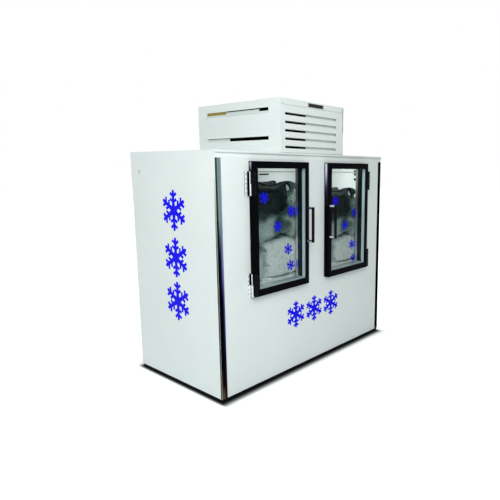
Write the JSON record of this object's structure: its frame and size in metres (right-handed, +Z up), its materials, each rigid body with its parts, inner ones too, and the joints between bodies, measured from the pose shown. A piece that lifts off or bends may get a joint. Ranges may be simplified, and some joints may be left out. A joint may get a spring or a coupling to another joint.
{
  "type": "ice merchandiser freezer",
  "caption": "Upright insulated cabinet for bagged ice with glazed front doors on side hinges and a louvred hood over a roof-mounted refrigeration unit.",
  "frame": {"origin": "on the floor, under the middle of the cabinet's footprint", "axes": "+Z up, the doors face -Y, +X to the right of someone who faces the doors"},
  "size_m": [1.855, 1.056, 1.993],
  "materials": {
    "white_paint": "satin",
    "liner_white": "satin",
    "black_base": "matte",
    "polished_trim": "polished",
    "galvanised": "satin",
    "foam": "matte",
    "black_plastic": "satin",
    "door_gloss": "gloss",
    "clear_glass": "gloss",
    "spacer_white": "satin",
    "gasket_rubber": "matte",
    "hinge_chrome": "polished",
    "compressor_black": "satin",
    "fin_aluminium": "satin",
    "copper": "satin",
    "grey_plastic": "satin",
    "ice_bag": "gloss"
  },
  "bodies": {
    "cabinet": {"base_frame": "black_base", "bottom_panel": "galvanised", "left_side_panel": "white_paint", "right_side_panel": "white_paint", "rear_panel": "galvanised", "top_panel": "white_paint", "front_panel": "white_paint", "top_front_cap": "white_paint", "left_corner_trim": "polished_trim", "right_corner_trim": "polished_trim", "insulation": "foam", "liner_left": "liner_white", "liner_right": "liner_white", "liner_rear": "liner_white", "liner_floor": "galvanised", "liner_ceiling": "liner_white", "liner_front": "liner_white", "left_breaker_frame": "black_plastic", "right_breaker_frame": "black_plastic", "left_upper_hinge_base": "hinge_chrome", "left_lower_hinge_base": "hinge_chrome", "right_upper_hinge_base": "hinge_chrome", "right_lower_hinge_base": "hinge_chrome", "hood_left_panel": "white_paint", "hood_right_panel": "white_paint", "hood_front_grille": "white_paint", "hood_rear_panel": "white_paint", "hood_lid": "white_paint", "unit_base": "galvanised", "compressor": "compressor_black", "condenser_coil": "fin_aluminium", "condenser_fan_shroud": "galvanised", "condenser_fan_motor": "compressor_black", "electrical_box": "grey_plastic", "suction_line": "copper", "evaporator_housing": "liner_white", "evaporator_coil": "fin_aluminium", "left_lower_ice_bag": "ice_bag", "left_upper_ice_bag": "ice_bag", "right_lower_ice_bag": "ice_bag", "right_upper_ice_bag": "ice_bag"},
    "left_door": {"left_door_frame": "door_gloss", "left_outer_glass": "clear_glass", "left_inner_glass": "clear_glass", "left_glass_spacer": "spacer_white", "left_door_gasket": "gasket_rubber", "left_door_handle": "black_plastic", "left_upper_hinge_strap": "hinge_chrome", "left_lower_hinge_strap": "hinge_chrome"},
    "right_door": {"right_door_frame": "door_gloss", "right_outer_glass": "clear_glass", "right_inner_glass": "clear_glass", "right_glass_spacer": "spacer_white", "right_door_gasket": "gasket_rubber", "right_door_handle": "black_plastic", "right_upper_hinge_strap": "hinge_chrome", "right_lower_hinge_strap": "hinge_chrome"},
    "condenser_fan": {"condenser_fan": "fin_aluminium"},
    "evaporator_fan": {"evaporator_fan": "grey_plastic"},
    "temperature_dial": {"temperature_dial": "black_plastic"}
  },
  "joints": [
    {"name": "left_door_hinge", "type": "hinge", "parent": "cabinet", "child": "left_door", "pos_m": [-0.6675, -0.503, 1], "axis": [0, 0, -1], "range_deg": [0, 110]},
    {"name": "right_door_hinge", "type": "hinge", "parent": "cabinet", "child": "right_door", "pos_m": [0.6675, -0.503, 1], "axis": [0, 0, 1], "range_deg": [0, 110]},
    {"name": "condenser_fan_spin", "type": "hinge", "parent": "cabinet", "child": "condenser_fan", "pos_m": [-0.075, -0.3644, 1.7796], "axis": [0, 1, 0], "continuous": true},
    {"name": "evaporator_fan_spin", "type": "hinge", "parent": "cabinet", "child": "evaporator_fan", "pos_m": [0, -0.038, 1.4872], "axis": [0, 1, 0], "continuous": true},
    {"name": "temperature_dial_turn", "type": "hinge", "parent": "cabinet", "child": "temperature_dial", "pos_m": [0.245, -0.3003, 1.7396], "axis": [0, -1, 0], "range_deg": [0, 270]}
  ]
}
